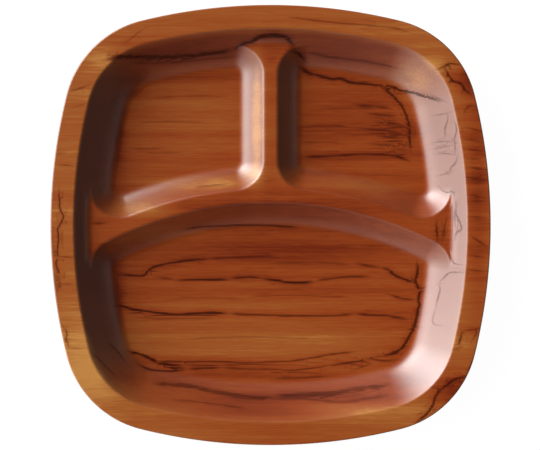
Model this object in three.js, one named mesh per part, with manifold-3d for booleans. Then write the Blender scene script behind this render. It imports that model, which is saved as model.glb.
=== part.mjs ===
// A square wooden buffet plate with three compartments, cut from a panel of staves glued edge to edge.
// Millimetres, +Z up. The origin is on the table under the plate's middle, and +Y is the back edge.
import * as THREE from "three";
import { mergeVertices } from "three/addons/utils/BufferGeometryUtils.js";
import Module from "manifold-3d";

// Overall size and plan shape
const PLATE_WIDTH = 250;          // along X, between the outermost points of the rim
const PLATE_DEPTH = 250;          // along Y
const PLATE_HEIGHT = 23.5;        // table to rim
const SIDE_BOW_RADIUS = 306;      // plan radius of the bowed sides, at the outer edge
const FLOOR_CORNER_RADIUS = 22;   // plan radius of a floor under a corner of the plate

// Rim, edge and underside
const RIM_WIDTH = 13.2;           // flat rim, outer edge to the top of the wall
const RIM_LIP_RADIUS = 2.5;       // rounding between rim and wall
const RIM_EDGE_RADIUS = 2;        // rounding between rim and upright edge
const EDGE_HEIGHT = 8;            // upright band below the rim
const EDGE_UNDER_RADIUS = 9;      // rounding between the upright band and the underside
const UNDERSIDE_ANGLE = 45;       // slope of the underside above the table, in degrees
const FOOT_WIDTH = 9;             // flat ring that the plate stands on
const FOOT_EDGE_RADIUS = 2.5;     // rounding between the foot and the underside
const FOOT_RECESS = 1.5;          // hollow inside the foot, so that the plate can't rock

// Compartments and dividers
const FLOOR_HEIGHT = 6.5;         // table to compartment floor
const DIVIDER_HEIGHT = 10;        // floor to divider top
const DIVIDER_WIDTH = 7.7;        // flat top of both dividers
const WALL_ANGLE = 42;            // slope of every wall and divider flank, in degrees
const FLOOR_FILLET = 9.5;         // rounding between floor and wall
const FLOOR_NOOK_RADIUS = 0.8;    // plan radius of a floor in the corners beside a divider
const ARCH_RADIUS = 211;          // centre line of the curved divider
const ARCH_CROWN = 16.8;          // Y of that centre line at its highest point
const WALL_STEP = 0.4;            // ledge at divider height, between the two cuts that make the wall

// Panel
const GLUE_THICKNESS = 0.2;       // cured film between two staves
const STAVES = [                  // front to back, all of one width
  { name: "front_stave", colour: "#96501f" },
  { name: "mid_front_stave", colour: "#8c4420" },
  { name: "mid_back_stave", colour: "#87401e" },
  { name: "back_stave", colour: "#91501f" },
];
const GLUE_LINES = ["glue_line_front", "glue_line_middle", "glue_line_back"];
const GLUE_COLOUR = "#4b2413";
const LACQUER_ROUGHNESS = 0.35;   // satin
const GLUE_ROUGHNESS = 0.5;

// How finely curves are cut into facets
const FACET_SAG = 0.06;           // furthest that a facet lies inside its plan curve
const FILLET_STEPS = 5;           // facets up the fillet at the floor
const ROUNDING_STEPS = 3;         // facets round each edge
const CUT_CLEARANCE = 2;          // how far a cutter stands out of what it cuts
const ROUNDING_ROOM = 0.45;       // most of a profile's side that one rounding may take

const slope = THREE.MathUtils.degToRad(WALL_ANGLE);
const underSlope = THREE.MathUtils.degToRad(UNDERSIDE_ANGLE);
const dividerTop = FLOOR_HEIGHT + DIVIDER_HEIGHT;
const edgeFoot = PLATE_HEIGHT - EDGE_HEIGHT;

// Plan distance from a floor's outline to the wall above it, at a height over the floor.
function wallRun(rise) {
  const filletRise = FLOOR_FILLET * (1 - Math.cos(slope));
  return FLOOR_FILLET * Math.sin(slope) + (rise - filletRise) / Math.tan(slope);
}

// Plan distances from the floors' outer outline, which every other outline is an offset of.
const flankRun = wallRun(DIVIDER_HEIGHT);
const basinFoot = flankRun + WALL_STEP;
const rimInside = wallRun(PLATE_HEIGHT - FLOOR_HEIGHT) + WALL_STEP;
const rimOutside = rimInside + RIM_WIDTH;
const footOutside = rimOutside - edgeFoot / Math.tan(underSlope);
const footInside = footOutside - FOOT_WIDTH;

const wasm = await Module();
wasm.setup();

// An outline runs anticlockwise through arcs that touch. A hollow arc has a negative radius.
function arc(x, y, radius) {
  return { centre: new THREE.Vector2(x, y), radius };
}

// Where two circles cross, on the left of the way from the first centre to the second.
function crossing(first, firstRadius, second, secondRadius) {
  const between = second.clone().sub(first);
  const distance = between.length();
  const along = (distance ** 2 + firstRadius ** 2 - secondRadius ** 2) / (2 * distance);
  const across = Math.sqrt(firstRadius ** 2 - along ** 2);
  const direction = between.normalize();
  return new THREE.Vector2(
    first.x + along * direction.x - across * direction.y,
    first.y + along * direction.y + across * direction.x,
  );
}

// Outward direction where an arc meets the next: along the line of their centres, or square to it
// where a straight side joins two arcs of one radius.
function meeting(current, next) {
  const between = next.centre.clone().sub(current.centre);
  const drop = current.radius - next.radius;
  if (drop === 0) return Math.atan2(-between.x, between.y);
  return Math.atan2(between.y / drop, between.x / drop);
}

// Turns an outline into points that slide along their own outward direction as it grows.
function stations(outline, widest) {
  return outline.flatMap((current, index) => {
    const before = outline.at(index - 1);
    const after = outline[(index + 1) % outline.length];
    const start = meeting(before, current);
    const turn = Math.sign(current.radius);
    const swing = turn * (meeting(current, after) - start);
    const sweep = turn * THREE.MathUtils.euclideanModulo(swing, 2 * Math.PI);
    const facet = Math.sqrt(8 * FACET_SAG / Math.abs(current.radius + widest));
    const steps = 2 * Math.max(1, Math.ceil(Math.abs(sweep) / (2 * facet)));
    const count = after.radius === current.radius ? steps + 1 : steps;
    return Array.from({ length: count }, (_, step) => {
      const angle = start + sweep * step / steps;
      return { arc: current, outward: new THREE.Vector2(Math.cos(angle), Math.sin(angle)) };
    });
  });
}

// Closed solid whose side passes through the outline, offset to each [offset, height] of the profile.
function loft(outline, profile) {
  const widest = Math.max(...profile.map(([offset]) => offset));
  const rail = stations(outline, widest);
  const rings = profile.map(([offset]) => rail.map(({ arc: { centre, radius }, outward }) =>
    centre.clone().addScaledVector(outward, radius + offset)));
  const positions = rings.flatMap((ring, level) => ring.flatMap(({ x, y }) => [x, y, profile[level][1]]));
  const count = rail.length;
  const top = (profile.length - 1) * count;
  const faces = [];
  for (let level = 0; level < profile.length - 1; level += 1) {
    for (let step = 0; step < count; step += 1) {
      const a = level * count + step;
      const b = level * count + (step + 1) % count;
      faces.push(a, b, b + count, a, b + count, a + count);
    }
  }
  THREE.ShapeUtils.triangulateShape(rings[0], []).forEach(([a, b, c]) => faces.push(a, c, b));
  THREE.ShapeUtils.triangulateShape(rings.at(-1), []).forEach(([a, b, c]) => {
    faces.push(top + a, top + b, top + c);
  });
  const geometry = new THREE.BufferGeometry();
  geometry.setAttribute("position", new THREE.Float32BufferAttribute(positions, 3));
  geometry.setIndex(faces);
  return geometry;
}

// Replaces each inner corner [offset, height, radius] of a profile by an arc.
function rounded(corners) {
  return corners.flatMap(([x, y, radius], index) => {
    if (!radius) return [[x, y]];
    const corner = new THREE.Vector2(x, y);
    const back = new THREE.Vector2(...corners[index - 1]).sub(corner);
    const ahead = new THREE.Vector2(...corners[index + 1]).sub(corner);
    const room = ROUNDING_ROOM * Math.min(back.length(), ahead.length());
    back.normalize();
    ahead.normalize();
    const halfAngle = Math.acos(back.dot(ahead)) / 2;
    const reach = Math.min(radius / Math.tan(halfAngle), room);
    const inward = back.clone().add(ahead).normalize();
    const middle = inward.multiplyScalar(reach / Math.cos(halfAngle)).add(corner);
    const first = corner.clone().addScaledVector(back, reach).sub(middle);
    const last = corner.clone().addScaledVector(ahead, reach).sub(middle);
    const turn = Math.atan2(first.cross(last), first.dot(last));
    return Array.from({ length: ROUNDING_STEPS + 1 }, (_, step) => {
      const point = first.clone().rotateAround(new THREE.Vector2(), turn * step / ROUNDING_STEPS);
      return point.add(middle).toArray();
    });
  });
}

function solid(geometry) {
  geometry.deleteAttribute("normal");
  geometry.deleteAttribute("uv");
  const merged = mergeVertices(geometry);
  return new wasm.Manifold(new wasm.Mesh({
    numProp: 3,
    vertProperties: merged.attributes.position.array,
    triVerts: Uint32Array.from(merged.index.array),
  }));
}

function mesh(name, body, material) {
  const { vertProperties, triVerts } = body.getMesh();
  const geometry = new THREE.BufferGeometry();
  geometry.setAttribute("position", new THREE.BufferAttribute(vertProperties, 3));
  geometry.setIndex(new THREE.BufferAttribute(triVerts, 1));
  geometry.computeVertexNormals();
  const result = new THREE.Mesh(geometry, material);
  result.name = name;
  return result;
}

// Arcs of the floors' outer outline: four bowed sides and four corners.
const sideRadius = SIDE_BOW_RADIUS - rimOutside;
const sideX = PLATE_WIDTH / 2 - SIDE_BOW_RADIUS;
const sideY = PLATE_DEPTH / 2 - SIDE_BOW_RADIUS;
const right = arc(sideX, 0, sideRadius);
const back = arc(0, sideY, sideRadius);
const left = arc(-sideX, 0, sideRadius);
const front = arc(0, -sideY, sideRadius);
const toCorner = sideRadius - FLOOR_CORNER_RADIUS;
const corner = crossing(right.centre, toCorner, back.centre, toCorner);
const backRight = arc(corner.x, corner.y, FLOOR_CORNER_RADIUS);
const backLeft = arc(-corner.x, corner.y, FLOOR_CORNER_RADIUS);
const frontLeft = arc(-corner.x, -corner.y, FLOOR_CORNER_RADIUS);
const frontRight = arc(corner.x, -corner.y, FLOOR_CORNER_RADIUS);
const plateOutline = [right, backRight, back, backLeft, left, frontLeft, front, frontRight];

// The curved divider's two flanks meet the floors on these arcs.
const archCentre = new THREE.Vector2(0, ARCH_CROWN - ARCH_RADIUS);
const archHalf = DIVIDER_WIDTH / 2 + flankRun;
const archBack = arc(archCentre.x, archCentre.y, -(ARCH_RADIUS + archHalf));
const archFront = arc(archCentre.x, archCentre.y, ARCH_RADIUS - archHalf);

function nook(centre) {
  return arc(centre.x, centre.y, FLOOR_NOOK_RADIUS);
}

// Floor of the small compartment at the back right. Its left side is the straight divider's flank.
function smallFloor() {
  const x = archHalf + FLOOR_NOOK_RADIUS;
  const toBack = sideRadius - FLOOR_NOOK_RADIUS;
  const toArch = FLOOR_NOOK_RADIUS - archBack.radius;
  const besideBack = new THREE.Vector2(x, sideY + Math.sqrt(toBack ** 2 - x ** 2));
  const besideArch = new THREE.Vector2(x, archCentre.y + Math.sqrt(toArch ** 2 - x ** 2));
  const besideRight = crossing(right.centre, toBack, archCentre, toArch);
  return [right, backRight, back, nook(besideBack), nook(besideArch), archBack, nook(besideRight)];
}

function mirrored(outline) {
  return outline.map(({ centre, radius }) => arc(-centre.x, centre.y, radius)).reverse();
}

// Floor of the large compartment at the front, under the arch.
function largeFloor() {
  const toSide = sideRadius - FLOOR_NOOK_RADIUS;
  const toArch = archFront.radius - FLOOR_NOOK_RADIUS;
  const besideRight = nook(crossing(right.centre, toSide, archCentre, toArch));
  const besideLeft = nook(new THREE.Vector2(-besideRight.centre.x, besideRight.centre.y));
  return [right, besideRight, archFront, besideLeft, left, frontLeft, front, frontRight];
}

// Outer shape of the plate, with one shallow basin down to the divider tops.
function blank() {
  return solid(loft(plateOutline, rounded([
    [footInside, FOOT_RECESS],
    [footInside, 0],
    [footOutside, 0, FOOT_EDGE_RADIUS],
    [rimOutside, edgeFoot, EDGE_UNDER_RADIUS],
    [rimOutside, PLATE_HEIGHT, RIM_EDGE_RADIUS],
    [rimInside, PLATE_HEIGHT, RIM_LIP_RADIUS],
    [basinFoot, dividerTop],
  ])));
}

// What is cut out below the basin for one compartment.
function compartment(floor) {
  const fillet = Array.from({ length: FILLET_STEPS + 1 }, (_, step) => {
    const angle = slope * step / FILLET_STEPS;
    return [FLOOR_FILLET * Math.sin(angle), FLOOR_HEIGHT + FLOOR_FILLET * (1 - Math.cos(angle))];
  });
  return solid(loft(floor, [...fillet, [flankRun, dividerTop], [flankRun, dividerTop + CUT_CLEARANCE]]));
}

// The part of the plate between two planes square to Y.
function slice(plate, from, to) {
  const slab = new THREE.BoxGeometry(
    PLATE_WIDTH + CUT_CLEARANCE, to - from, PLATE_HEIGHT + CUT_CLEARANCE);
  slab.translate(0, (from + to) / 2, PLATE_HEIGHT / 2);
  return plate.intersect(solid(slab));
}

const floors = [smallFloor(), mirrored(smallFloor()), largeFloor()];
const carved = floors.reduce((body, floor) => body.subtract(compartment(floor)), blank());

function finish(colour, roughness) {
  return new THREE.MeshStandardMaterial({ color: colour, roughness, metalness: 0 });
}

const plate = new THREE.Group();
const staveWidth = PLATE_DEPTH / STAVES.length;
STAVES.forEach(({ name, colour }, index) => {
  const from = -PLATE_DEPTH / 2 + index * staveWidth;
  const to = from + staveWidth;
  const first = index === 0;
  const last = index === STAVES.length - 1;
  const stave = slice(
    carved,
    first ? from - CUT_CLEARANCE : from + GLUE_THICKNESS / 2,
    last ? to + CUT_CLEARANCE : to - GLUE_THICKNESS / 2,
  );
  plate.add(mesh(name, stave, finish(colour, LACQUER_ROUGHNESS)));
});
GLUE_LINES.forEach((name, index) => {
  const seam = -PLATE_DEPTH / 2 + (index + 1) * staveWidth;
  const film = slice(carved, seam - GLUE_THICKNESS / 2, seam + GLUE_THICKNESS / 2);
  plate.add(mesh(name, film, finish(GLUE_COLOUR, GLUE_ROUGHNESS)));
});

export default plate;
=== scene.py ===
"""A lacquered wooden buffet plate with three compartments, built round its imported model."""
import math
from collections import namedtuple

import bmesh
import bpy
import numpy as np
from mathutils import Euler, Matrix, Vector
from mathutils.geometry import delaunay_2d_cdt


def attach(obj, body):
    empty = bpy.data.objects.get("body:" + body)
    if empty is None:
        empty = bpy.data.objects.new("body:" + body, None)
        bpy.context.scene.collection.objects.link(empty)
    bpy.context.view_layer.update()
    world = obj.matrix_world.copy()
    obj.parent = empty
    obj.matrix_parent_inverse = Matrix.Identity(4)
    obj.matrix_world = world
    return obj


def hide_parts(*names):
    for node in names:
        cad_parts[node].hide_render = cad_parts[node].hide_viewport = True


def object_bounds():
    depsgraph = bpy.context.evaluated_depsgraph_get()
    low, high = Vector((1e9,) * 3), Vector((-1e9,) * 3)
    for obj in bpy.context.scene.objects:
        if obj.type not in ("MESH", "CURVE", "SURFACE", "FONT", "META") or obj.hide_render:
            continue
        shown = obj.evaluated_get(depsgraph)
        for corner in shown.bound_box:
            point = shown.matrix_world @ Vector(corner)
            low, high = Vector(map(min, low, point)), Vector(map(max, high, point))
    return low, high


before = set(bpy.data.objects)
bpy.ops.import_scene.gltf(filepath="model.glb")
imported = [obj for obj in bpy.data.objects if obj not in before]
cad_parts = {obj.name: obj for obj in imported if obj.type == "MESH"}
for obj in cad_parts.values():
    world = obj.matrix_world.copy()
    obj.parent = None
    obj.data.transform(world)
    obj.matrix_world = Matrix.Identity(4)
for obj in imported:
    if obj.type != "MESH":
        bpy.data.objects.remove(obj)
cad_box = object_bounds()

bl_info = {
    "name": "Buffet plate",
    "version": (1, 0, 0),
    "blender": (4, 5, 0),
    "location": "View3D > Sidebar > Plate",
    "description": "Builds a lacquered wooden buffet plate with three compartments",
    "category": "Mesh",
}

MM = 0.001
BODY = "root"

# How finely the carved surface is drawn
RING_SPACING = 1.2 * MM     # along a ring of points
GRID_SPACING = 1.5 * MM     # on level ground
POINT_GAP = 0.35 * MM       # points closer than this are merged
FILLET_RINGS = 17
SLOPE_RINGS = 3
EDGE_RINGS = 6
FILLET_CROWDING = 1.3       # above 1, a fillet's rings lie closer at its foot
SHARP_ANGLE = math.radians(35)
NORMAL_STEP = 0.02 * MM     # to each side, for a surface's direction
WELD_DISTANCE = 0.001 * MM
WHOLE_HULL = 0              # asks the triangulation for everything inside the outer ring
EASE_POWER = 4              # how gently a floor fillet runs out into the slope

STAVES = (                  # piece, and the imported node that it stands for, front to back
    ("stave_front", "front_stave"),
    ("stave_mid_front", "mid_front_stave"),
    ("stave_mid_back", "mid_back_stave"),
    ("stave_back", "back_stave"),
)
SEAMS = (
    ("seam_front", "glue_line_front"),
    ("seam_middle", "glue_line_middle"),
    ("seam_back", "glue_line_back"),
)

# Dark growth lines of the boards, seen from above: darkness, half width and points in millimetres
GROWTH_LINES = (
    # cracks across the right wall and rim
    (0.4, 0.4, ((90, 75), (95.5, 72.5), (101, 69))),
    (0.4, 0.35, ((92, 62.5), (98, 63), (103.5, 64.5))),
    (0.5, 0.4, ((100.5, 63.5), (101, 59), (99, 54.5), (100, 50), (98.5, 49.5))),
    (0.45, 0.35, ((91.5, 47), (98, 47.8), (105, 47.5))),
    (0.45, 0.35, ((92, 43.5), (98, 44.2), (104.5, 45.5))),
    (0.55, 0.4, ((106.5, 39.5), (105, 34.5), (102.5, 33), (102, 28.5))),
    (0.55, 0.4, ((96.5, 22), (100, 18), (104.5, 19.5), (105, 15))),
    (0.6, 0.45, ((106.5, 12.5), (105, 7), (107.5, 2.5), (109, -3.5), (106, -3.5), (105, -9))),
    (0.45, 0.4, ((109.5, 55.5), (115, 54.5), (120.5, 53))),
    (0.4, 0.4, ((109.5, 49), (115, 48), (120.5, 46.5))),
    (0.5, 0.4, ((111, 37.5), (115, 37.5), (119.5, 37))),
    (0.4, 0.4, ((111.5, 24), (121.5, 23.5))),
    (0.45, 0.4, ((112, 17), (117, 16.5), (121.5, 15))),
    (0.4, 0.4, ((112, 5), (122.5, 4))),
    (0.4, 0.4, ((112, -17), (122, -18.5))),
    # hairlines at the right end of the right compartment
    (0.55, 0.5, ((48, 69), (60, 68.2), (70, 67))),
    (0.5, 0.5, ((56, 64), (64, 63.2), (73, 62.5))),
    (0.6, 0.5, ((60, 59.5), (67, 58.6), (75, 58))),
    (0.5, 0.45, ((52, 55.5), (63, 54.8), (74, 53.5))),
    (0.6, 0.5, ((62, 51), (69, 50.2), (76, 49.6))),
    (0.5, 0.45, ((58, 46.5), (66, 46), (75, 45))),
    # back wall
    (0.8, 0.9, ((-94, 93.5), (-85, 96), (-71.5, 96), (-60.5, 96), (-44, 97), (-32, 98.5),
     (-21.5, 100.5))),
    (0.9, 0.9, ((-22, 100), (-16, 103.5), (-10.5, 104.5), (-7, 107), (-1.5, 108), (4, 108), (9, 107),
     (12, 104.5), (13.5, 101))),
    (0.9, 0.8, ((11, 99.5), (15, 99), (18, 96.5), (20.5, 94))),
    (0.9, 0.8, ((16, 91), (18.5, 90.5), (21, 87.5), (27, 86))),
    (0.35, 0.5, ((-80, 92.5), (-60, 93), (-37, 95), (-19.5, 96.5))),
    (0.4, 0.5, ((22.5, 98.5), (39.5, 95.5), (57.5, 93.5), (73.5, 89.5))),
    # right compartment
    (0.85, 0.7, ((16.5, 90), (21, 88), (31, 85), (36, 83.5), (40, 84.5), (47.5, 81.5), (55.5, 81.5),
     (63, 80), (70, 80), (74.5, 77.5), (82.5, 76), (90, 73), (97.5, 70.5))),
    (0.8, 0.6, ((63, 80), (69, 76), (73, 72), (76.5, 67.5), (78.5, 62.5), (80, 57), (80, 49.5),
     (81, 42.5))),
    (0.6, 0.4, ((65.5, 57.5), (72.5, 57), (79.5, 56))),
    (0.55, 0.4, ((68, 52), (74, 51.5), (80, 52))),
    (0.6, 0.4, ((64.5, 47), (73, 47), (80, 46))),
    (0.55, 0.4, ((69, 43.5), (81, 43))),
    (0.75, 0.5, ((19, 39.5), (32.5, 39.5), (45.5, 40.5), (61.5, 41), (74, 39.5), (80, 36.5))),
    (0.35, 0.4, ((14.5, 56), (33.5, 57.5), (46, 56))),
    (0.3, 0.4, ((16.5, 47.5), (31.5, 48), (41.5, 47))),
    (0.3, 0.4, ((27, 66.5), (46, 67.5), (61, 66.5))),
    # left compartment
    (0.35, 0.4, ((-81, 44.5), (-71.5, 43.5), (-61, 44.5))),
    (0.3, 0.4, ((-75, 42), (-64, 41.5), (-51.5, 42))),
    (0.25, 0.4, ((-68.5, 73), (-48, 74.5), (-25.5, 74))),
    (0.25, 0.4, ((-76.5, 59), (-56, 59.5), (-38, 59))),
    # dividers
    (0.5, 0.4, ((-1, 94), (2.5, 95))),
    (0.45, 0.4, ((-4.5, 24.5), (1, 25))),
    (0.55, 0.5, ((-103.5, 1), (-98.5, 1), (-93, 1.5))),
    (0.5, 0.5, ((-42.5, 22), (-33.5, 22.5), (-24.5, 23.5))),
    (0.7, 0.5, ((-49.5, -2.5), (-40, -1), (-28, -0.5), (-11.5, 0), (2.5, -0.5), (16.5, -1.5))),
    (0.75, 0.5, ((95, 2.5), (94.5, -2.5), (95.5, -6), (95, -10))),
    (0.6, 0.4, ((100.5, 3.5), (99, -2.5), (99.5, -6), (97.5, -9.5))),
    # large compartment
    (0.85, 0.5, ((-87, -28.5), (-82, -29), (-75, -29.5), (-72.5, -29), (-71, -27), (-69, -25),
     (-65, -23.5), (-58, -22), (-49, -20.5), (-36, -19.5))),
    (0.45, 0.6, ((-36, -19.5), (-20, -18.5), (2.5, -18))),
    (0.45, 0.5, ((-67, -29.5), (-61, -30.5), (-54.5, -31.5))),
    (0.8, 0.6, ((-54.5, -32), (-41, -31.5), (-32, -31.5), (-24, -31))),
    (0.7, 0.5, ((-24, -31), (-19, -30.5), (-9, -30), (-5, -31))),
    (0.9, 0.65, ((-5, -31), (3.5, -32), (7.5, -33), (16.5, -33.5), (25, -32.5))),
    (0.6, 0.5, ((25, -32.5), (33.5, -31), (42, -30), (50.5, -30), (57, -30))),
    (0.9, 0.55, ((-89.5, -46.5), (-84.5, -47), (-80, -48.5), (-73.5, -49.5), (-66, -50.5), (-52, -51.5),
     (-44, -51), (-34.5, -50.5), (-24, -51))),
    (0.65, 0.5, ((-24, -51), (-10, -52), (7.5, -52), (21, -52.5), (37.5, -52), (48.5, -51))),
    (0.7, 0.6, ((48.5, -51), (60, -52), (68, -52.5), (74.5, -54), (79.5, -54))),
    (0.35, 0.4, ((-78.5, -53), (-67.5, -54), (-48.5, -54), (-32, -54))),
    (0.6, 0.6, ((49.5, -22), (58.5, -24), (64, -24.5))),
    (0.85, 0.6, ((64, -24.5), (68, -26), (72, -29), (76, -31), (80.5, -32.5), (84, -32.5))),
    (0.6, 0.5, ((67.5, -39.5), (74.5, -42.5), (83.5, -43))),
    (0.85, 0.7, ((84.5, -21), (85, -24.5), (84.5, -28), (83.5, -32.5), (85.5, -36), (86, -40),
     (85, -43.5), (86, -47), (84.5, -51), (84, -55), (82.5, -59.5), (80.5, -63.5), (78, -67.5),
     (75.5, -71.5), (71.5, -74), (64, -75.5))),
    (0.7, 0.4, ((84.5, -37.5), (89.5, -35.5))),
    (0.6, 0.4, ((81.5, -59.5), (85.5, -59))),
    (0.9, 0.65, ((-83, -72), (-81.5, -73), (-75, -74.5), (-69, -77), (-63.5, -79.5), (-56.5, -81),
     (-50.5, -81))),
    (0.8, 0.5, ((-76.5, -80), (-70, -83.5), (-62, -84), (-54, -84), (-48, -83))),
    (0.75, 0.5, ((-48, -83), (-40, -82.5), (-28.5, -82.5))),
    (0.55, 0.4, ((-28.5, -82.5), (-13, -83), (2.5, -83), (9, -84), (21, -83), (33.5, -81))),
    (0.6, 0.45, ((-65, -78.5), (-48, -79), (-36, -78.5), (-23, -79), (-11.5, -79.5), (2.5, -78.5),
     (11.5, -78.5), (25, -76.5), (37, -74), (48.5, -73))),
    (0.7, 0.5, ((33.5, -81), (45.5, -79.5), (56, -77.5), (64, -75))),
    (0.45, 0.4, ((1.5, -88.5), (21, -88), (32.5, -87))),
    (0.5, 0.4, ((53.5, -76.5), (65.5, -78.5), (72, -77.5))),
    (0.45, 0.4, ((47, -83.5), (58.5, -80))),
    (0.3, 0.4, ((-11.5, -41), (16.5, -40.5), (45, -41.5))),
    (0.3, 0.4, ((3, -22), (28, -21.5), (45, -22.5))),
    (0.25, 0.4, ((-57, -42.5), (-32, -42), (-17.5, -42.5))),
    (0.25, 0.4, ((-45.5, -65.5), (-11.5, -64), (22.5, -65.5))),
    # left wall
    (0.5, 0.5, ((-93.5, -67), (-88.5, -71.5), (-83, -79))),
    (0.4, 0.4, ((-101.5, -72), (-94.5, -80), (-87.5, -87))),
    # front wall
    (0.6, 1.0, ((-67, -91), (-56, -91.5), (-44, -93), (-28, -96.5), (-11.5, -99), (2.5, -99.5))),
    (0.4, 0.7, ((-3, -99.5), (17, -99.5), (29, -100), (39, -101.5), (53.5, -99.5), (67.5, -97))),
    (0.6, 1.1, ((3, -98.5), (16.5, -97.5), (29, -97), (41.5, -95.5), (53.5, -93.5), (62, -92.5),
     (68, -91.5))),
    (0.35, 0.5, ((-56.5, -99.5), (-37, -101.5), (-15, -104.5))),
    # right wall
    (0.5, 0.4, ((104, 59.5), (106, 55), (104.5, 49.5), (105, 45), (105, 39.5))),
    (0.45, 0.4, ((104.5, 16), (106, 11), (104.5, 5), (106, -3))),
    (0.5, 0.4, ((95, 40.5), (100.5, 41), (105, 39.5))),
    (0.45, 0.4, ((95, 28), (99.5, 29), (104.5, 31))),
    (0.55, 0.4, ((96, -33.5), (98.5, -31), (101, -28), (103, -27), (110.5, -27))),
    (0.55, 0.4, ((96, -33.5), (97.5, -36.5), (95.5, -43), (94.5, -48))),
    (0.5, 0.4, ((102.5, -15.5), (104, -22.5), (109.5, -22.5))),
    (0.4, 0.4, ((94.5, -48), (92.5, -54.5), (93.5, -57.5), (98, -57.5))),
    # rim
    (0.45, 0.4, ((11.5, 118), (33, 115), (53.5, 113.5), (70, 112), (78, 109.5))),
    (0.3, 0.4, ((-70.5, 112.5), (-77, 107.5), (-84.5, 101.5))),
    (0.5, 0.4, ((-115, 75.5), (-108, 77.5), (-102.5, 79.5))),
    (0.4, 0.4, ((-111.5, 67), (-105.5, 68.5))),
    (0.75, 0.5, ((94, 88), (95, 88.5), (99, 90), (100.5, 92), (108, 91))),
    (0.85, 0.55, ((98.5, 90), (101, 85.5), (103, 81.5), (108, 81), (110.5, 76), (114.5, 74))),
    (0.6, 0.4, ((110, 63.5), (111, 66.5), (113.5, 68), (116.5, 67.5))),
    (0.5, 0.4, ((-121, 40.5), (-117, 40.5))),
    (0.5, 0.4, ((-121, 34), (-116, 34), (-111, 33.5))),
    (0.75, 0.45, ((-120, 20), (-120, 14), (-119.5, 9), (-117, 4.5), (-119, 1), (-121, -2.5), (-120, -8),
     (-121, -13.5), (-120.5, -18.5), (-122, -21.5), (-120.5, -25.5), (-119, -29), (-119.5, -33.5),
     (-121, -37))),
    (0.7, 0.4, ((-120.5, -18), (-116, -18), (-112, -18.5))),
    (0.6, 1.2, ((-121.5, -28), (-121, -34))),
    (0.4, 0.4, ((-119, -33.5), (-111, -34))),
    (0.6, 0.4, ((-118, -57.5), (-116.5, -59.5), (-115, -61.5), (-116.5, -65), (-114.5, -67.5),
     (-115, -70.5))),
    (0.4, 0.4, ((-115, -70), (-105, -70))),
    (0.5, 0.5, ((111, 43), (123, 41.5))),
    (0.5, 0.5, ((111.5, 33), (123.5, 31))),
    (0.45, 0.5, ((111.5, 27), (123.5, 25.5))),
    (0.4, 0.4, ((111.5, 13.5), (123, 13.5))),
    (0.6, 0.45, ((113, -6), (116.5, -8), (121, -11), (123, -12.5))),
    (0.55, 0.4, ((111, -25.5), (116.5, -26), (122, -26))),
    (0.8, 0.55, ((108.5, -59.5), (108.5, -62.5), (107, -66.5), (106, -70))),
    (0.7, 0.45, ((108.5, -60), (114.5, -59.5), (118.5, -59), (120.5, -58.5))),
    (0.7, 0.45, ((118, -59), (116.5, -62.5), (114.5, -65.5))),
    (0.5, 0.4, ((103.5, -70.5), (109.5, -69))),
    (0.6, 0.45, ((115, -75.5), (113.5, -80), (111, -84.5))),
    (0.85, 0.6, ((112, -85), (109.5, -86.5), (106, -87), (102, -89), (100, -91), (98, -92), (96, -94),
     (93.5, -97), (92.5, -102), (90, -105), (88.5, -107.5), (82, -112.5))),
    (0.6, 0.4, ((91.5, -92), (95, -93), (98, -92))),
)
CORNER_CUT = 0.25           # share of a step that is cut off a line's corners
LINE_FADE = 5 * MM          # over which a line's ends fade
LINE_END = 0.25             # share of a line's darkness left at its very ends
LINE_REACH = 3 * MM         # beyond which a line leaves no mark
LINE_FACING = -0.2          # lines show on surfaces whose direction's Z is above this

# Lighter (above 0) and darker wood, and painted light and shade where marked: tone, x, y, half length and
# half width in millimetres
WOOD_AND_PAINTED_LIGHT_TONES = (
    # large compartment, back to front
    (-0.9, 12, -15, 62, 9),
    (0.2, -45, -38, 40, 10),
    (0.2, -30, -45, 60, 6),
    (0.95, -15, -66, 90, 13),
    (0.2, 25, -66, 25, 6),
    # small compartments
    (0.6, -48, 58, 40, 22),
    (-0.25, 50, 56, 40, 30),
    (-0.7, -48, 84.5, 34, 3),
    # painted shade: the next two strips darken the left edges of the left and large floors, where the left
    # wall shades them
    (-1.3, -88, 55, 4, 25),
    (-1.3, -88.5, -44, 4, 25),
    # walls and dividers
    (-0.7, 10, -97.5, 60, 3.5),
    (-0.5, -10, -105, 30, 5),
    (0.6, -50, -99, 14, 5),
    (1.1, 48, -105, 26, 4),
    (-0.9, -60, 100, 45, 7),
    (-0.6, 40, 100, 40, 8),
    (-0.7, -80, 79, 8, 8),
    (-0.9, -83, -82, 10, 10),
    (-0.35, 20, 17, 75, 6),
    (-0.5, 0, 9, 75, 5),
    # painted light: the back right corner wall, which faces the front left light, drawn lighter
    (1.5, 85, 82, 14, 14),
    (-0.9, 83, -84, 15, 13),
    (0.4, -55, 24, 32, 5),
    (0.8, -42, 21.5, 22, 4),
    (1.2, -28, 24, 9, 3),
    (1.6, -7.8, 80, 4.4, 22),
    (1.6, -7.8, 45, 4.4, 22),
    (1.1, -12, 29, 7, 6),
    (0.5, 8, 58, 6, 36),
    (0.7, 48, 22, 28, 5),
    (0.6, -57, -5, 25, 5),
    # lighter wood with a painted highlight along the back edge of the curved divider's left part
    (1.7, -73, 10, 16, 5),
    # rim
    (1.1, -100, -82, 24, 22),
    (-0.6, 10, -118, 60, 8),
    (-0.5, 0, 118, 60, 8),
    (0.6, 84, -101, 12, 8),
    (-1.35, 118, 15, 8, 85),
    (0.8, -94, 94, 10, 8),
    (-1.2, 112, 82, 9, 11),
    (-1.6, 107, -94, 12, 14),
)
DARKEST_TONE, LIGHTEST_TONE = -1, 2
RIM_TONE = 0.9              # the rim lies in the lighter outer wood
RIM_DEPTH = 3               # millimetres below the rim over which its tone sets in
END_GRAIN = 0.8             # most that end grain hides the boards' own colour
END_GRAIN_LEAST = 0.3       # share of that on the lightest wood
END_GRAIN_SLOPE = 0.66      # lean of a wall that shows most of it

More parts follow.
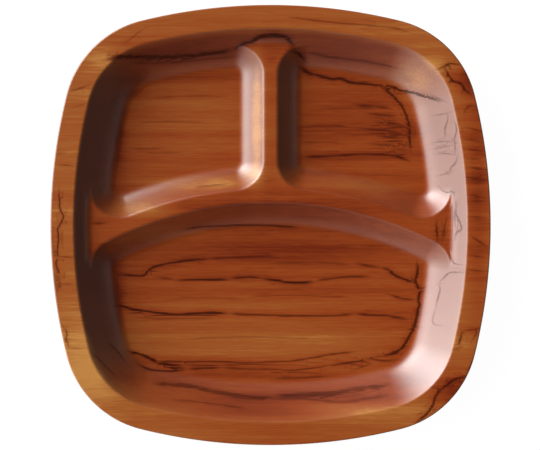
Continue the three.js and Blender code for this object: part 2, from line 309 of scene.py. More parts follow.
# Length along the grain and width across it in millimetres, and detail of the noise
GRAIN = {
    "bands": (220, 7, 2),
    "streaks": (45, 1.1, 3),
    "pores": (9, 0.55, 1),      # drawn about five times coarser than real pores, so that they show
    "waver": (16, 0.9, 2),
}
TONE_SWINGS = {"bands": 1.8, "streaks": 1.1, "pores": 1.0}      # how far each moves the wood's tone
LINE_WAVER = 3.5            # half widths of a line by which it wanders
LINE_CORE = 0.4             # half widths that are fully dark
LINE_EDGES = {"line": 1.7, "shade": 6}      # half widths at which a line and the shade beside it end
SHADE_TONE = -0.7
LINE_GROOVE = -2            # depth of a line against the pores
RELIEF_DEPTH = 0.1 * MM
RELIEF_STRENGTH = 0.3
CRACK_DULLNESS = 0.75       # share of the shine that a fully dark line takes away
GLUE_SHARE = 0.15           # glue's own colour in a seam full of sanding dust

MIX_FIRST, MIX_SECOND, MIX_RESULT = 6, 7, 2     # colour sockets of a mix node

LACQUER = {                 # a clear satin skin over wood that has no shine of its own
    "Roughness": 0.5,
    "Specular IOR Level": 0.0,
    "Coat IOR": 2.0,
    "Coat Roughness": 0.3,
}
# The lacquer's shine by the Z of a surface's direction: full on inner walls and fillets, and rubbed down on
# the outside, which faces sideways or down, and on floors, rim and divider tops, which face up
SHINE_FACING = (0.3, 0.6, 0.9, 0.985)
SHINE = (0.2, 1, 1, 0.2)

# Soft light round the plate: azimuth from +X, elevation and roll in degrees, reach sideways and up on a
# sphere of radius 1, and radiance
GLOWS = (
    (142, 17, -22, 0.62, 0.53, 6.9),    # back left, the main light
    (178, 27, 0, 0.82, 0.7, 3.45),      # left
    (134, 33, 0, 0.42, 0.3, 3.0),       # back left, above the main light
    (148, 58, 0, 0.7, 0.45, 0.8),       # high up
    (230, 22, 0, 0.52, 0.55, 1.2),      # front left
    (0, 25, 0, 1.0, 0.24, 0.21),        # right
    (265, 34, 0, 0.6, 0.35, 0.16),      # front
    (90, 33, 0, 0.35, 0.33, 0.06),      # back
)
GLOW_CORE = 0.8             # a glow grows until this share of the way to its middle
AMBIENT = 0.015             # radiance where no glow reaches

FLOOR_REACH = 3.0           # metres from the plate's middle
FLOOR_DROP = 0.05 * MM      # keeps the floor clear of the foot's flat ring
FLOOR_WHITE = 1.05          # how bright the floor looks to the camera and in the lacquer
FLOOR_WHITE_SHARE = 0.93    # the rest is lit as paper, and keeps the plate's shadow
SENSOR_WIDTH = 36           # millimetres, as the lens is
CAMERA_SHIFT = -0.34 * MM   # from the plate's middle, along X


def linear(code):
    """Linear RGBA of an sRGB hex colour."""
    channels = [int(code[i:i + 2], 16) / 255 for i in (1, 3, 5)]
    return tuple(c / 12.92 if c <= 0.04045 else ((c + 0.055) / 1.055) ** 2.4 for c in channels) + (1,)


def length(name, description, millimetres):
    """A property for a length."""
    return bpy.props.FloatProperty(
        name=name, description=description, default=millimetres * MM, min=0, unit="LENGTH", precision=5)


def angle(name, description, degrees):
    """A property for a slope."""
    return bpy.props.FloatProperty(
        name=name, description=description, default=math.radians(degrees), subtype="ANGLE")


def colour(name, description, code):
    """A property for a colour."""
    return bpy.props.FloatVectorProperty(
        name=name, description=description, default=linear(code), size=4, min=0, max=1, subtype="COLOR")


class PlateSizes(bpy.types.PropertyGroup):
    """Sizes of the carved plate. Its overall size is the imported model's."""
    side_bow_radius: length("Side bow", "Plan radius of the bowed sides at the outer edge", 306)
    rim_width: length("Rim width", "Flat rim from the outer edge to the wall", 13.2)
    lip_radius: length("Lip radius", "Rounding between rim and wall", 2.5)
    rim_edge_radius: length("Rim edge radius", "Rounding between rim and upright edge", 0.8)
    edge_height: length("Edge height", "Upright band below the rim", 8)
    edge_under_radius: length("Edge under radius", "Rounding below the upright band", 8.7)
    underside_angle: angle("Underside angle", "Slope of the underside above the table", 45)
    foot_width: length("Foot width", "Flat ring that the plate stands on", 9)
    foot_edge_radius: length("Foot edge radius", "Rounding between foot and underside", 2.5)
    foot_recess: length("Foot recess", "Hollow inside the foot", 1.5)
    floor_height: length("Floor height", "Table to compartment floor", 6.5)
    floor_fillet: length("Floor fillet", "Rounding between floor and wall", 9.5)
    floor_corner_radius: length("Floor corner radius", "Plan radius of a floor under a plate corner", 22)
    floor_nook_radius: length("Floor nook radius", "Plan radius of a floor beside a divider", 2.5)
    wall_angle: angle("Wall angle", "Slope of walls and divider flanks", 42)
    divider_height: length("Divider height", "Floor to divider top", 10)
    divider_width: length("Divider width", "Flat top of the dividers", 7.7)
    divider_edge_radius: length("Divider edge radius", "Rounding of the dividers' top edges", 3)
    divider_end_fillet: length("Divider end fillet", "Softening where a divider meets the wall", 2.6)
    arch_radius: length("Arch radius", "Centre line of the curved divider", 211)
    arch_crown: length("Arch crown", "Distance of that line's crown behind the plate's middle", 16.8)
    glue_thickness: length("Glue thickness", "Cured film between two staves", 0.2)


class PlateFinish(bpy.types.PropertyGroup):
    """Colours of the wood and the glue."""
    heartwood_dark: colour("Dark heartwood", "Deepest red-brown of the boards", "#792a10")
    heartwood: colour("Heartwood", "Main red-brown of the boards", "#9f461b")
    heartwood_light: colour("Light heartwood", "Orange-brown of the lighter bands", "#ad602b")
    sapwood: colour("Sapwood", "Honey brown towards the bark", "#d08f4a")
    end_grain: colour("End grain", "Dull brown where the fibres are cut across", "#763f22")
    late_wood: colour("Late wood", "Near-black growth lines", "#3c170d")
    glue: colour("Glue", "Cured film in the seams", "#7f3714")


class PlateStage(bpy.types.PropertyGroup):
    """Floor, light and camera."""
    floor: colour("Floor", "Pale studio floor", "#f2f2f0")
    camera_height: length("Camera height", "Table to camera", 1150)
    view_width: length("View width", "Width of the picture at the rim's height", 306.45)


Arc = namedtuple("Arc", "centre radius")        # hollow where the radius is below zero
Side = namedtuple("Side", "centre radius start sweep slide")


def crossing(first, first_radius, second, second_radius):
    """Where two circles cross, on the left of the way from the first centre to the second."""
    between = second - first
    distance = np.hypot(*between)
    along = (distance ** 2 + first_radius ** 2 - second_radius ** 2) / (2 * distance)
    across = math.sqrt(first_radius ** 2 - along ** 2)
    direction = between / distance
    return first + along * direction + across * np.array((-direction[1], direction[0]))


def meeting(arc, following):
    """Angle of the outward direction where an arc touches the one that follows it."""
    between = following.centre - arc.centre
    drop = arc.radius - following.radius
    if drop == 0:
        return math.atan2(-between[0], between[1])
    return math.atan2(between[1] / drop, between[0] / drop)


class Outline:
    """A closed line of touching arcs, seen from above, that can be offset outwards."""

    def __init__(self, arcs, reach):
        self.sides = []
        for before, arc, after in zip(arcs[-1:] + arcs[:-1], arcs, arcs[1:] + arcs[:1]):
            start, end = meeting(before, arc), meeting(arc, after)
            turn = math.copysign(1, arc.radius)
            sweep = turn * ((turn * (end - start)) % math.tau)
            self.sides.append(Side(arc.centre, arc.radius, start, sweep, np.zeros(2)))
            if after.radius == arc.radius:
                self.sides.append(Side(arc.centre, arc.radius, end, 0, after.centre - arc.centre))
        centres, radii, angles = [], [], []
        for side in self.sides:
            travel = abs(side.sweep * (side.radius + reach)) + np.hypot(*side.slide)
            steps = max(2, math.ceil(travel / RING_SPACING))
            share = np.arange(steps) / steps
            centres.append(side.centre + share[:, None] * side.slide)
            radii.append(np.full(steps, side.radius))
            angles.append(side.start + share * side.sweep)
        self.centres = np.concatenate(centres)
        self.radii = np.concatenate(radii)
        angles = np.concatenate(angles)
        self.outward = np.column_stack((np.cos(angles), np.sin(angles)))

    def ring(self, offset):
        """Points round the line, moved outwards by an offset."""
        return self.centres + (self.radii + offset)[:, None] * self.outward

    def distance(self, points):
        """Signed distance of points from the line, above zero outside it."""
        nearest = np.full(len(points), np.inf)
        for side in self.sides:
            x, y = (points - side.centre).T
            if side.sweep:
                turn = math.copysign(1, side.radius)
                swung = (turn * (np.arctan2(turn * y, turn * x) - side.start)) % math.tau
                faces = swung <= abs(side.sweep)
                away = turn * np.hypot(x, y) - side.radius
            else:
                extent = np.hypot(*side.slide)
                along = (x * side.slide[0] + y * side.slide[1]) / extent
                faces = (along >= 0) & (along <= extent)
                away = x * math.cos(side.start) + y * math.sin(side.start) - side.radius
            closer = faces & (np.abs(away) < np.abs(nearest))
            nearest[closer] = away[closer]
        return nearest


class PlateForm:
    """Outlines and heights of the carved plate, worked out from its sizes."""

    def __init__(self, sizes):
        high = cad_box[1]
        self.sizes = sizes
        self.half_depth = high.y
        self.rim = high.z
        self.divider_top = sizes.floor_height + sizes.divider_height
        self.ease = sizes.floor_fillet * math.tan(sizes.wall_angle / 2)
        self.fillet_run = EASE_POWER * self.ease
        self.flank_run = self.run(self.divider_top)
        self.rim_inside = self.run(self.rim)
        self.rim_outside = self.rim_inside + sizes.rim_width
        edge_foot = self.rim - sizes.edge_height
        self.foot_outside = self.rim_outside - edge_foot / math.tan(sizes.underside_angle)
        self.foot_inside = self.foot_outside - sizes.foot_width
        self.lay_out(high.x, high.y)

    def run(self, height):
        """Plan distance from a floor's outline to the slope above it."""
        return self.ease + (height - self.sizes.floor_height) / math.tan(self.sizes.wall_angle)

    def lay_out(self, half_width, half_depth):
        """Outlines of the whole floor area and of the three compartment floors."""
        sizes = self.sizes
        bow = sizes.side_bow_radius - self.rim_outside
        mirror = np.array((-1, 1))
        right = Arc(np.array((half_width - sizes.side_bow_radius, 0)), bow)
        back = Arc(np.array((0, half_depth - sizes.side_bow_radius)), bow)
        left = Arc(-right.centre, bow)
        front = Arc(-back.centre, bow)
        to_corner = bow - sizes.floor_corner_radius
        corner = crossing(right.centre, to_corner, back.centre, to_corner)
        back_right = Arc(corner, sizes.floor_corner_radius)
        back_left = Arc(corner * mirror, sizes.floor_corner_radius)
        front_left = Arc(-corner, sizes.floor_corner_radius)
        front_right = Arc(-corner * mirror, sizes.floor_corner_radius)

        nook = sizes.floor_nook_radius
        half = sizes.divider_width / 2 + self.flank_run
        arch = np.array((0, sizes.arch_crown - sizes.arch_radius))
        arch_back = Arc(arch, -(sizes.arch_radius + half))
        arch_front = Arc(arch, sizes.arch_radius - half)
        to_side = bow - nook
        to_arch = nook - arch_back.radius
        x = half + nook
        beside_back = Arc(np.array((x, back.centre[1] + math.sqrt(to_side ** 2 - x ** 2))), nook)
        beside_arch = Arc(np.array((x, arch[1] + math.sqrt(to_arch ** 2 - x ** 2))), nook)
        behind_end = Arc(crossing(right.centre, to_side, arch, to_arch), nook)
        below_end = Arc(crossing(right.centre, to_side, arch, arch_front.radius - nook), nook)
        below_other_end = Arc(below_end.centre * mirror, nook)
        small = [right, back_right, back, beside_back, beside_arch, arch_back, behind_end]
        mirrored = [Arc(arc.centre * mirror, arc.radius) for arc in reversed(small)]
        large = [right, below_end, arch_front, below_other_end, left, front_left, front, front_right]
        whole = [right, back_right, back, back_left, left, front_left, front, front_right]
        self.plate = Outline(whole, self.rim_outside)
        self.pockets = [Outline(arcs, self.flank_run) for arcs in (small, mirrored, large)]

    def top_rounding(self, top, radius):
        """Plan distances at which a slope's top rounding starts and ends."""
        reach = radius * math.tan(self.sizes.wall_angle / 2)
        return self.run(top) - reach * math.cos(self.sizes.wall_angle), self.run(top) + reach

    def slope(self, distance, top, radius):
        """Height over a floor's edge: a fillet that eases into the slope, a rounded top, then level."""
        start, end = self.top_rounding(top, radius)
        outside = np.maximum(distance, 0)
        curved = np.clip(1 - outside / self.fillet_run, 0, 1)
        head = np.clip(end - distance, 0, end - start)
        return np.where(
            distance <= start,
            self.sizes.floor_height
            + math.tan(self.sizes.wall_angle) * (outside - self.ease * (1 - curved ** EASE_POWER)),
            top - radius + np.sqrt(radius ** 2 - head ** 2),
        )

    def beside(self, points):
        """Distance of points from the nearest compartment floor."""
        return np.min([pocket.distance(points) for pocket in self.pockets], axis=0)

    def height(self, points):
        """Height of the carved surface, from the floors to the rim."""
        beside = self.beside(points)
        compartment = self.slope(beside, self.divider_top, self.sizes.divider_edge_radius)
        wall = self.slope(self.plate.distance(points), self.rim, self.sizes.lip_radius)
        fillet = self.sizes.divider_end_fillet
        on_divider = np.clip((beside - self.flank_run) / fillet, 0, 1)
        blend = np.maximum(fillet * on_divider, NORMAL_STEP)
        lift = np.maximum(blend - np.abs(compartment - wall), 0) ** 2 / (4 * blend)
        return np.maximum(compartment, wall) + lift

    def normals(self, points):
        """Outward directions of the carved surface."""
        east, north = np.array((NORMAL_STEP, 0)), np.array((0, NORMAL_STEP))
        fall_x = self.height(points - east) - self.height(points + east)
        fall_y = self.height(points - north) - self.height(points + north)
        normals = np.column_stack((fall_x, fall_y, np.full(len(points), 2 * NORMAL_STEP)))
        return normals / np.linalg.norm(normals, axis=1)[:, None]

    def surface_points(self):
        """Points of the carved surface, close where it bends, inside the rim's outer rounding."""
        sizes = self.sizes
        start, end = self.top_rounding(self.divider_top, sizes.divider_edge_radius)
        flank = start * np.linspace(0, 1, FILLET_RINGS) ** FILLET_CROWDING
        edge = end - (end - start) * np.sin(np.linspace(1, 0, EDGE_RINGS)[1:] * math.pi / 2)
        rows = []
        for pocket in self.pockets:
            rows += [pocket.ring(offset) for offset in flank]
            for offset in (*edge, end + RING_SPACING):
                ring = pocket.ring(offset)
                on_divider = self.plate.distance(ring) < self.flank_run - POINT_GAP
                nearest = self.beside(ring) > offset - POINT_GAP
                rows.append(ring[on_divider & nearest])
        softened = 2 * sizes.divider_end_fillet
        for offset in np.linspace(-softened, softened, 2 * EDGE_RINGS - 1):
            ring = self.plate.ring(self.flank_run + offset)
            rows.append(ring[self.beside(ring) > self.flank_run + POINT_GAP])
        lip_start, lip_end = self.top_rounding(self.rim, sizes.lip_radius)
        outer = self.rim_outside - sizes.rim_edge_radius
        lip = lip_end - (lip_end - lip_start) * np.sin(np.linspace(1, 0, FILLET_RINGS) * math.pi / 2)
        climb = np.linspace(start, lip_start, 2 * SLOPE_RINGS + 1)[1:-1]
        level = np.linspace(lip_end, outer, EDGE_RINGS)[1:-1]
        rows += [self.plate.ring(offset) for offset in (*climb, *lip, *level)]
        across = np.arange(-self.half_depth, self.half_depth, GRID_SPACING)
        grid = np.array(np.meshgrid(across, across)).reshape(2, -1).T
        beside, inside = self.beside(grid), self.plate.distance(grid)
        on_floor = beside < -GRID_SPACING / 2
        on_top = (beside > end + 2 * RING_SPACING) & (inside < self.flank_run - softened)
        rows.append(grid[on_floor | on_top])
        points = np.concatenate(rows)
        keep = np.unique(np.round(points / POINT_GAP), axis=0, return_index=True)[1]
        return points[np.sort(keep)]

    def edge_profile(self):
        """Offsets and heights of the rings from the rim's outer edge round to the foot's recess."""
        sizes = self.sizes
        corners = (
            (self.rim_outside, self.rim, sizes.rim_edge_radius),
            (self.rim_outside, self.rim - sizes.edge_height, sizes.edge_under_radius),
            (self.foot_outside, 0, sizes.foot_edge_radius),
        )
        path = [(self.rim_inside, self.rim), *[corner[:2] for corner in corners], (self.foot_inside, 0)]
        rings = []
        for (before, corner, after), (*_, radius) in zip(zip(path, path[1:], path[2:]), corners):
            corner = Vector(corner)
            back = (Vector(before) - corner).normalized()
            ahead = (Vector(after) - corner).normalized()
            half = back.angle(ahead) / 2
            middle = corner + (back + ahead).normalized() * radius / math.sin(half)
            first = corner + back * radius / math.tan(half) - middle
            turn = math.copysign(math.pi - 2 * half, ahead.cross(back))
            for step in range(EDGE_RINGS + 1):
                rings.append(tuple(middle + Matrix.Rotation(turn * step / EDGE_RINGS, 2) @ first))
        return rings + [(self.foot_inside, 0), (self.foot_inside, sizes.foot_recess)]


def carved_plate(form):
    """The whole plate as one closed mesh, with the carved surface's directions kept on its points."""
    profile = form.edge_profile()
    outer = form.plate.ring(profile[0][0])
    flat = np.concatenate((outer, form.surface_points()))
    points, _, faces, origins, *_ = delaunay_2d_cdt(
        [Vector(point) for point in flat], [], [], WHOLE_HULL, WELD_DISTANCE)
    points = np.array(points)
    heights, normals = form.height(points), form.normals(points)

    plate = bmesh.new()
    direction = plate.verts.layers.float_vector.new("direction")
    top = [plate.verts.new((*point, height)) for point, height in zip(points, heights)]
    for vert, normal in zip(top, normals):
        vert[direction] = normal
    for face in faces:
        plate.faces.new([top[i] for i in face])
    at = {source: vert for vert, sources in zip(top, origins) for source in sources}
    ring = [at[i] for i in range(len(outer))]
    for offset, height in profile[1:]:
        below = [plate.verts.new((*point, height)) for point in form.plate.ring(offset)]
        for i, vert in enumerate(ring):
            plate.faces.new((vert, ring[i - 1], below[i - 1], below[i]))
        ring = below
    plate.faces.new(ring)
    bmesh.ops.recalc_face_normals(plate, faces=plate.faces)
    return plate


def cut(plate, low, high):
    """The part of the plate between two planes square to Y, closed where it was sawn."""
    part = plate.copy()
    for y, away in ((low, -1), (high, 1)):
        everything = part.verts[:] + part.edges[:] + part.faces[:]
        sawn = bmesh.ops.bisect_plane(
            part, geom=everything, plane_co=(0, y, 0), plane_no=(0, away, 0), clear_outer=True)
        edges = [item for item in sawn["geom_cut"] if isinstance(item, bmesh.types.BMEdge)]
        if edges:
            caps = bmesh.ops.triangle_fill(part, edges=edges, normal=(0, away, 0))
            for face in caps["geom"]:
                if isinstance(face, bmesh.types.BMFace):
                    face.tag = True
    for face in part.faces:
        face.smooth = not face.tag
    for edge in part.edges:
        edge.smooth = len({face.tag for face in edge.link_faces}) == 1 and (
            edge.calc_face_angle(0) < SHARP_ANGLE)
    bmesh.ops.recalc_face_normals(part, faces=part.faces)
    return part


def smoothed(way):
    """A line of points with its corners cut twice."""
    for _ in range(2):
        first, last = way[:1], way[-1:]
        start, end = way[:-1], way[1:]
        step = CORNER_CUT * (end - start)
        cuts = np.stack((start + step, end - step), axis=1)
        way = np.concatenate((first, cuts.reshape(-1, 2), last))
    return way


def growth_lines(points):
    """Signed distance of points from their nearest growth line, over its half width, and its darkness."""
    nearest = np.full(len(points), LINE_REACH)
    offset, darkness = np.zeros((2, len(points)))
    for dark, half_width, way in GROWTH_LINES:
        way = smoothed(np.array(way) * MM)
        reach = (points > way.min(axis=0) - LINE_REACH) & (points < way.max(axis=0) + LINE_REACH)
        near = np.flatnonzero(reach.all(axis=1))
        steps = np.diff(way, axis=0)
        lengths = np.hypot(*steps.T)
        starts = np.cumsum(lengths) - lengths
        for start, step, extent, before in zip(way, steps, lengths, starts):
            away = points[near] - start
            along = np.clip(away @ step / extent, 0, extent)
            distance = np.hypot(*(away - along[:, None] * step / extent).T)
            closer = distance < nearest[near]
            at = near[closer]
            side = np.sign(step[0] * away[:, 1] - step[1] * away[:, 0])
            to_end = np.minimum(before + along, lengths.sum() - before - along)
            nearest[at] = distance[closer]
            offset[at] = (side * distance)[closer] / (half_width * MM)
            darkness[at] = dark * (LINE_END + (1 - LINE_END) * np.clip(to_end / LINE_FADE, 0, 1))[closer]
    return offset, darkness * np.clip(2 - 2 * nearest / LINE_REACH, 0, 1)


def wood_and_painted_light_tone(points, rim):
    """How light the wood is at points of the carved plate, with the painted light and shade of the tone
    table.
    """
    x, y, z = points.T / MM
    tone = RIM_TONE * np.clip((z - rim / MM) / RIM_DEPTH + 1, 0, 1)
    for value, middle_x, middle_y, along, across in WOOD_AND_PAINTED_LIGHT_TONES:
        tone += value * np.exp(-((x - middle_x) / along) ** 2 - ((y - middle_y) / across) ** 2)
    return tone


def place(part, name, node, material):
    """Makes a piece of a cut part, with the carved surface's own directions for its shading."""
    if not part.faces:
        raise RuntimeError(f"{name} is empty")
    mesh = bpy.data.meshes.new(name)
    part.to_mesh(mesh)
    part.free()
    points, normals, directions = np.zeros((3, len(mesh.vertices), 3), np.float32)
    mesh.vertices.foreach_get("co", points.ravel())
    mesh.vertices.foreach_get("normal", normals.ravel())
    mesh.attributes["direction"].data.foreach_get("vector", directions.ravel())
    mesh.attributes.remove(mesh.attributes["direction"])
    carved = directions.any(axis=1)
    normals[carved] = directions[carved]
    offset, darkness = growth_lines(points[:, :2])
    tone = wood_and_painted_light_tone(points, cad_box[1].z)
    lean = np.clip(np.abs(normals[:, 0]) / END_GRAIN_SLOPE, 0, 1)
    facing = normals[:, 2]
    for layer, values in (
        ("line_offset", offset),
        ("line_darkness", np.where(facing > LINE_FACING, darkness, 0)),
        ("wood_and_painted_light_tone", tone),
        ("end_grain", END_GRAIN * lean ** 2 * np.clip(LIGHTEST_TONE - tone, END_GRAIN_LEAST, 1)),
        ("shine", np.interp(facing, SHINE_FACING, SHINE)),
    ):
        attribute = mesh.attributes.new(layer, "FLOAT", "POINT")
        attribute.data.foreach_set("value", values.astype(np.float32))
    corners = directions[[loop.vertex_index for loop in mesh.loops]]
    for face in mesh.polygons:
        if not face.use_smooth:
            corners[face.loop_start:face.loop_start + face.loop_total] = 0
    mesh.normals_split_custom_set(corners.tolist())
    mesh.materials.append(material)
    piece = bpy.data.objects.new(name, mesh)
    bpy.context.scene.collection.objects.link(piece)
    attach(piece, BODY)
    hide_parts(node)


def add_node(tree, kind, inputs=None, **settings):
    """Adds a node, sets its properties, and fills or links its inputs."""
    node = tree.nodes.new(kind)
    for name, value in settings.items():
        setattr(node, name, value)
    for name, value in (inputs or {}).items():
        if isinstance(value, bpy.types.NodeSocket):
            tree.links.new(value, node.inputs[name])
        else:
            node.inputs[name].default_value = value
    return node


def empty_material(name):
    """A material and its node tree, with no nodes in it."""
    material = bpy.data.materials.new(name)
    material.use_nodes = True
    material.node_tree.nodes.clear()
    return material, material.node_tree


def wood_pattern(tree, finish):
    """Colour, relief and shine of lacquered flat-sawn boards whose grain runs along X."""
    where = add_node(tree, "ShaderNodeTexCoord").outputs["Object"]
    grain = {}
    for name, (along, across, detail) in GRAIN.items():
        run = add_node(tree, "ShaderNodeMapping", {
            "Vector": where, "Scale": (1 / (along * MM), 1 / (across * MM), 1 / (across * MM))})
        noise = add_node(tree, "ShaderNodeTexNoise", {
            "Vector": run.outputs["Vector"], "Scale": 1, "Detail": detail})
        grain[name] = add_node(tree, "ShaderNodeMath", {
            0: noise.outputs["Fac"], 1: 0.5}, operation="SUBTRACT").outputs[0]
    layers = {
        name: add_node(tree, "ShaderNodeAttribute", attribute_name=name).outputs["Fac"]
        for name in ("line_offset", "line_darkness", "wood_and_painted_light_tone", "end_grain", "shine")
    }

    ragged = add_node(tree, "ShaderNodeMath", {
        0: grain["waver"], 1: LINE_WAVER, 2: layers["line_offset"]}, operation="MULTIPLY_ADD")
    beside = add_node(tree, "ShaderNodeMath", {0: ragged.outputs[0]}, operation="ABSOLUTE")
    marks = {}
    for name, edge in LINE_EDGES.items():
        mark = add_node(tree, "ShaderNodeMapRange", {
            "Value": beside.outputs[0], "From Min": edge, "From Max": LINE_CORE},
            interpolation_type="SMOOTHSTEP")
        marks[name] = add_node(tree, "ShaderNodeMath", {
            0: mark.outputs["Result"], 1: layers["line_darkness"]}, operation="MULTIPLY").outputs[0]

    tone = layers["wood_and_painted_light_tone"]
    swings = [(grain[name], strength) for name, strength in TONE_SWINGS.items()]
    for swing, strength in (*swings, (marks["shade"], SHADE_TONE)):
        tone = add_node(tree, "ShaderNodeMath", {
            0: swing, 1: strength, 2: tone}, operation="MULTIPLY_ADD").outputs[0]
    spread = add_node(tree, "ShaderNodeMapRange", {
        "Value": tone, "From Min": DARKEST_TONE, "From Max": LIGHTEST_TONE})
    ramp = add_node(tree, "ShaderNodeValToRGB", {"Fac": spread.outputs["Result"]})
    shades = (finish.heartwood_dark, finish.heartwood, finish.heartwood_light, finish.sapwood)
    while len(ramp.color_ramp.elements) < len(shades):
        ramp.color_ramp.elements.new(0.5)
    for index, (stop, shade) in enumerate(zip(ramp.color_ramp.elements, shades)):
        stop.position, stop.color = index / (len(shades) - 1), shade
    wood = add_node(tree, "ShaderNodeMix", {
        "Factor": layers["end_grain"], MIX_FIRST: ramp.outputs["Color"], MIX_SECOND: finish.end_grain},
        data_type="RGBA")
    lined = add_node(tree, "ShaderNodeMix", {
        "Factor": marks["line"], MIX_FIRST: wood.outputs[MIX_RESULT], MIX_SECOND: finish.late_wood},
        data_type="RGBA")
    groove = add_node(tree, "ShaderNodeMath", {
        0: marks["line"], 1: LINE_GROOVE, 2: grain["pores"]}, operation="MULTIPLY_ADD")
    relief = add_node(tree, "ShaderNodeBump", {
        "Strength": RELIEF_STRENGTH, "Distance": RELIEF_DEPTH, "Height": groove.outputs[0]})
    # A crack breaks the lacquer's skin, so it shines less than the wood beside it.
    whole = add_node(tree, "ShaderNodeMath", {
        0: marks["line"], 1: -CRACK_DULLNESS, 2: 1}, operation="MULTIPLY_ADD")
    shine = add_node(tree, "ShaderNodeMath", {
        0: layers["shine"], 1: whole.outputs[0]}, operation="MULTIPLY")
    return lined.outputs[MIX_RESULT], relief.outputs["Normal"], shine.outputs[0]


def lacquered_hardwood(finish):
    """Red-brown hardwood, carved, sanded and sprayed with satin lacquer."""
    # Broad bands and fine streaks run along X, late wood shows as near-black ragged lines, and end grain
    # is duller. The lacquer wets the wood, so only its own skin shines, in broad soft lights on the walls
    # and more weakly where it was rubbed down.
    material, tree = empty_material("sanded_hardwood_satin_lacquer")
    wood, relief, shine = wood_pattern(tree, finish)
    shader = add_node(tree, "ShaderNodeBsdfPrincipled", {
        "Base Color": wood, "Normal": relief, "Coat Normal": relief, "Coat Weight": shine, **LACQUER})
    add_node(tree, "ShaderNodeOutputMaterial", {"Surface": shader.outputs["BSDF"]})
    return material


def cured_glue(finish):
    """Wood glue, cured, sanded flush and lacquered over with the boards."""
    # Sanding dust fills the film, so it takes the boards' colour and pattern and shows as a faint darker
    # hairline.
    material, tree = empty_material("cured_wood_glue_sanded")
    wood, _, shine = wood_pattern(tree, finish)
    dusty = add_node(tree, "ShaderNodeMix", {
        "Factor": GLUE_SHARE, MIX_FIRST: wood, MIX_SECOND: finish.glue}, data_type="RGBA")
    shader = add_node(tree, "ShaderNodeBsdfPrincipled", {
        "Base Color": dusty.outputs[MIX_RESULT], "Coat Weight": shine, **LACQUER})
    add_node(tree, "ShaderNodeOutputMaterial", {"Surface": shader.outputs["BSDF"]})
    return material


def studio_paper(stage):
    """Pale uncoated paper, drawn off a roll for the studio floor."""
    # Matt and evenly white apart from the plate's shadow. It is clear from below, so that the underside
    # can be seen.
    material, tree = empty_material("matt_studio_paper")
    diffuse = add_node(tree, "ShaderNodeBsdfDiffuse", {"Color": stage.floor})
    glow = add_node(tree, "ShaderNodeEmission", {"Strength": FLOOR_WHITE})
    path = add_node(tree, "ShaderNodeLightPath")
    seen = add_node(tree, "ShaderNodeMath", {
        0: path.outputs["Is Camera Ray"], 1: path.outputs["Is Glossy Ray"]}, operation="MAXIMUM")
    share = add_node(tree, "ShaderNodeMath", {
        0: seen.outputs[0], 1: FLOOR_WHITE_SHARE}, operation="MULTIPLY")
    white = add_node(tree, "ShaderNodeMixShader", {
        "Fac": share.outputs[0], 1: diffuse.outputs[0], 2: glow.outputs[0]})
    clear = add_node(tree, "ShaderNodeBsdfTransparent")
    side = add_node(tree, "ShaderNodeNewGeometry")
    paper = add_node(tree, "ShaderNodeMixShader", {
        "Fac": side.outputs["Backfacing"], 1: white.outputs[0], 2: clear.outputs[0]})
    add_node(tree, "ShaderNodeOutputMaterial", {"Surface": paper.outputs[0]})
    return material


def studio_light():
    """A world of soft glows, which the camera sees as plain white."""
    world = bpy.data.worlds.new("studio")
    world.use_nodes = True
    tree = world.node_tree
    tree.nodes.clear()
    path = add_node(tree, "ShaderNodeLightPath")
    direction = add_node(tree, "ShaderNodeTexCoord").outputs["Generated"]
    radiance = AMBIENT
    for azimuth, elevation, roll, wide, tall, strength in GLOWS:
        turn = Euler((math.radians(roll), -math.radians(elevation), math.radians(azimuth)))
        placed = add_node(tree, "ShaderNodeMapping", {
            "Vector": direction, "Location": turn.to_matrix() @ Vector((1, 0, 0)), "Rotation": turn,
            "Scale": (1, wide, tall)}, vector_type="TEXTURE")
        inside = add_node(tree, "ShaderNodeTexGradient", {
            "Vector": placed.outputs["Vector"]}, gradient_type="SPHERICAL")
        soft = add_node(tree, "ShaderNodeMapRange", {
            "Value": inside.outputs["Fac"], "From Max": GLOW_CORE}, interpolation_type="SMOOTHSTEP")
        radiance = add_node(tree, "ShaderNodeMath", {
            0: soft.outputs["Result"], 1: strength, 2: radiance}, operation="MULTIPLY_ADD").outputs[0]
    white = linear("#ffffff")
    glows = add_node(tree, "ShaderNodeBackground", {"Color": white, "Strength": radiance})
    backdrop = add_node(tree, "ShaderNodeBackground", {"Color": white, "Strength": 1})
    mixed = add_node(tree, "ShaderNodeMixShader", {
        "Fac": path.outputs["Is Camera Ray"], 1: glows.outputs[0], 2: backdrop.outputs[0]})
    add_node(tree, "ShaderNodeOutputWorld", {"Surface": mixed.outputs[0]})
    return world


class PLATE_OT_staves(bpy.types.Operator):
    """Carves the plate and saws it into its four staves"""
    bl_idname = "plate.staves"
    bl_label = "Staves"

    def execute(self, context):
        form = PlateForm(context.scene.plate_sizes)
        wood = lacquered_hardwood(context.scene.plate_finish)
        plate = carved_plate(form)
        width = 2 * form.half_depth / len(STAVES)
        film = form.sizes.glue_thickness / 2
        for index, (name, node) in enumerate(STAVES):
            low = index * width - form.half_depth
            first = low + film if index else low - width
            last = low + width - film if index + 1 < len(STAVES) else low + 2 * width
            place(cut(plate, first, last), name, node, wood)
        plate.free()
        return {"FINISHED"}


class PLATE_OT_seams(bpy.types.Operator):
    """Fills the three seams between the staves with glue"""
    bl_idname = "plate.seams"
    bl_label = "Glue lines"

    def execute(self, context):
        form = PlateForm(context.scene.plate_sizes)
        glue = cured_glue(context.scene.plate_finish)
        plate = carved_plate(form)
        width = 2 * form.half_depth / len(STAVES)
        film = form.sizes.glue_thickness / 2
        for index, (name, node) in enumerate(SEAMS, start=1):
            seam = index * width - form.half_depth
            place(cut(plate, seam - film, seam + film), name, node, glue)
        plate.free()
        return {"FINISHED"}


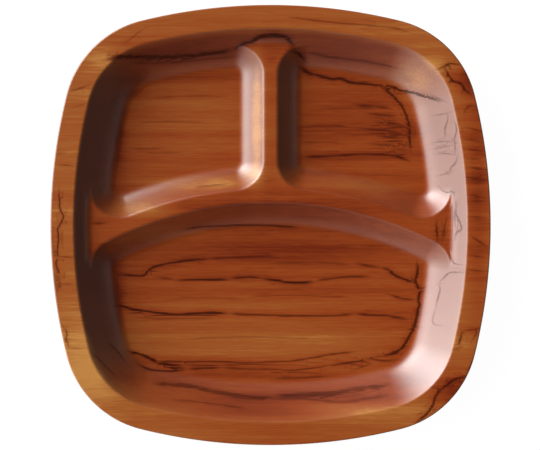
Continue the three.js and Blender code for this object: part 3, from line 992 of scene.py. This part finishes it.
class PLATE_OT_stage(bpy.types.Operator):
    """Sets up the floor, the light and the camera"""
    bl_idname = "plate.stage"
    bl_label = "Stage"

    def execute(self, context):
        scene, stage = context.scene, context.scene.plate_stage
        mesh = bpy.data.meshes.new("studio_floor")
        mesh.from_pydata(
            [(-FLOOR_REACH, -FLOOR_REACH, -FLOOR_DROP), (FLOOR_REACH, -FLOOR_REACH, -FLOOR_DROP),
             (FLOOR_REACH, FLOOR_REACH, -FLOOR_DROP), (-FLOOR_REACH, FLOOR_REACH, -FLOOR_DROP)],
            [], [(0, 1, 2, 3)])
        mesh.materials.append(studio_paper(stage))
        floor = bpy.data.objects.new("studio_floor", mesh)
        scene.collection.objects.link(floor)
        scene.world = studio_light()
        lens = bpy.data.cameras.new("camera")
        lens.sensor_width = SENSOR_WIDTH
        lens.lens = SENSOR_WIDTH * (stage.camera_height - cad_box[1].z) / stage.view_width
        camera = bpy.data.objects.new("camera", lens)
        camera.location = (CAMERA_SHIFT, 0, stage.camera_height)
        scene.collection.objects.link(camera)
        scene.camera = camera
        scene.view_settings.view_transform = "Standard"
        return {"FINISHED"}


class PLATE_PT_panel(bpy.types.Panel):
    """Sizes, finish and steps of the buffet plate"""
    bl_idname = "PLATE_PT_panel"
    bl_label = "Buffet plate"
    bl_space_type = "VIEW_3D"
    bl_region_type = "UI"
    bl_category = "Plate"

    def draw(self, context):
        for group in (context.scene.plate_sizes, context.scene.plate_finish, context.scene.plate_stage):
            box = self.layout.box()
            for name in group.__annotations__:
                box.prop(group, name)
        for operator in (PLATE_OT_staves, PLATE_OT_seams, PLATE_OT_stage):
            self.layout.operator(operator.bl_idname)


CLASSES = (
    PlateSizes, PlateFinish, PlateStage,
    PLATE_OT_staves, PLATE_OT_seams, PLATE_OT_stage, PLATE_PT_panel,
)
GROUPS = {"plate_sizes": PlateSizes, "plate_finish": PlateFinish, "plate_stage": PlateStage}


def register():
    """Makes the plate's settings, steps and panel known."""
    for cls in CLASSES:
        bpy.utils.register_class(cls)
    for name, group in GROUPS.items():
        setattr(bpy.types.Scene, name, bpy.props.PointerProperty(type=group))


def unregister():
    """Takes them away again."""
    for name in GROUPS:
        delattr(bpy.types.Scene, name)
    for cls in reversed(CLASSES):
        bpy.utils.unregister_class(cls)


def main():
    """Builds the plate and its stage."""
    register()
    bpy.ops.plate.staves()
    bpy.ops.plate.seams()
    bpy.ops.plate.stage()


if __name__ == "__main__":
    main()
